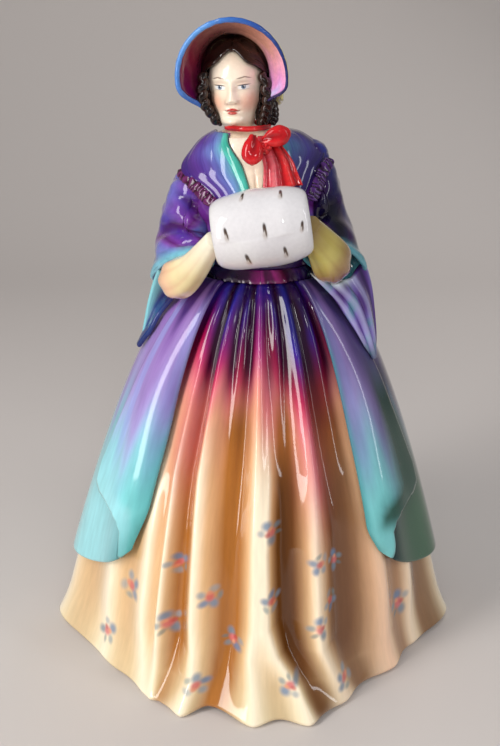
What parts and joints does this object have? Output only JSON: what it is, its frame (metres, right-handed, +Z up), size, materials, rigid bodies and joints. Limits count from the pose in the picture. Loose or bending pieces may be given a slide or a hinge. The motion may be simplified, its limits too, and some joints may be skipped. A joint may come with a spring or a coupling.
{
  "type": "bone china lady figurine",
  "caption": "Glazed bone china lady in a bonnet, open coat and full pleated skirt, with her hands in a white muff; stands on a flat base as an ornament.",
  "frame": {"origin": "middle of the flat underside of the base plate, at the table", "axes": "+Z up, the lady faces -Y, +X towards her left hand"},
  "size_m": [0.132, 0.119, 0.191],
  "materials": {
    "skirt_glaze": "glossy hand-painted glaze, cream with plum at the waist and small flower sprigs",
    "coat_glaze": "glossy hand-painted glaze, purple running to turquoise",
    "bodice_glaze": "glossy hand-painted glaze, navy and purple",
    "collar_glaze": "glossy hand-painted glaze, periwinkle with a turquoise edge",
    "trim_glaze": "glossy hand-painted glaze, dark plum",
    "sleeve_lining_glaze": "glossy hand-painted glaze, lilac with a teal edge",
    "undersleeve_glaze": "glossy hand-painted glaze, cream and straw yellow",
    "muff_glaze": "glossy white glaze with brown flecks",
    "skin_glaze": "soft glossy glaze, ivory with a painted face",
    "hair_glaze": "glossy dark brown glaze",
    "lining_glaze": "glossy hand-painted glaze, maroon to pink",
    "binding_glaze": "glossy blue glaze",
    "straw_glaze": "glossy straw-yellow glaze",
    "ribbon_glaze": "glossy red glaze",
    "bare_china": "unglazed bone china"
  },
  "bodies": {
    "root": {"base_plate": "bare_china", "skirt": "skirt_glaze", "coat_skirt": "coat_glaze", "waist_band": "trim_glaze", "bodice": "bodice_glaze", "chest_insert": "skin_glaze", "right_collar": "collar_glaze", "left_collar": "collar_glaze", "right_ruche": "trim_glaze", "left_ruche": "trim_glaze", "right_sleeve": "bodice_glaze", "left_sleeve": "bodice_glaze", "right_sleeve_point": "sleeve_lining_glaze", "left_sleeve_point": "sleeve_lining_glaze", "right_undersleeve": "undersleeve_glaze", "left_undersleeve": "undersleeve_glaze", "muff": "muff_glaze", "head": "skin_glaze", "hair": "hair_glaze", "right_ringlets": "hair_glaze", "left_ringlets": "hair_glaze", "bonnet_brim": "lining_glaze", "brim_binding": "binding_glaze", "bonnet_crown": "straw_glaze", "crown_tip": "straw_glaze", "neck_frill": "straw_glaze", "neck_ribbon": "ribbon_glaze", "bow_knot": "ribbon_glaze", "right_bow_loop": "ribbon_glaze", "left_bow_loop": "ribbon_glaze", "right_bow_tail": "ribbon_glaze", "left_bow_tail": "ribbon_glaze"}
  },
  "joints": []
}
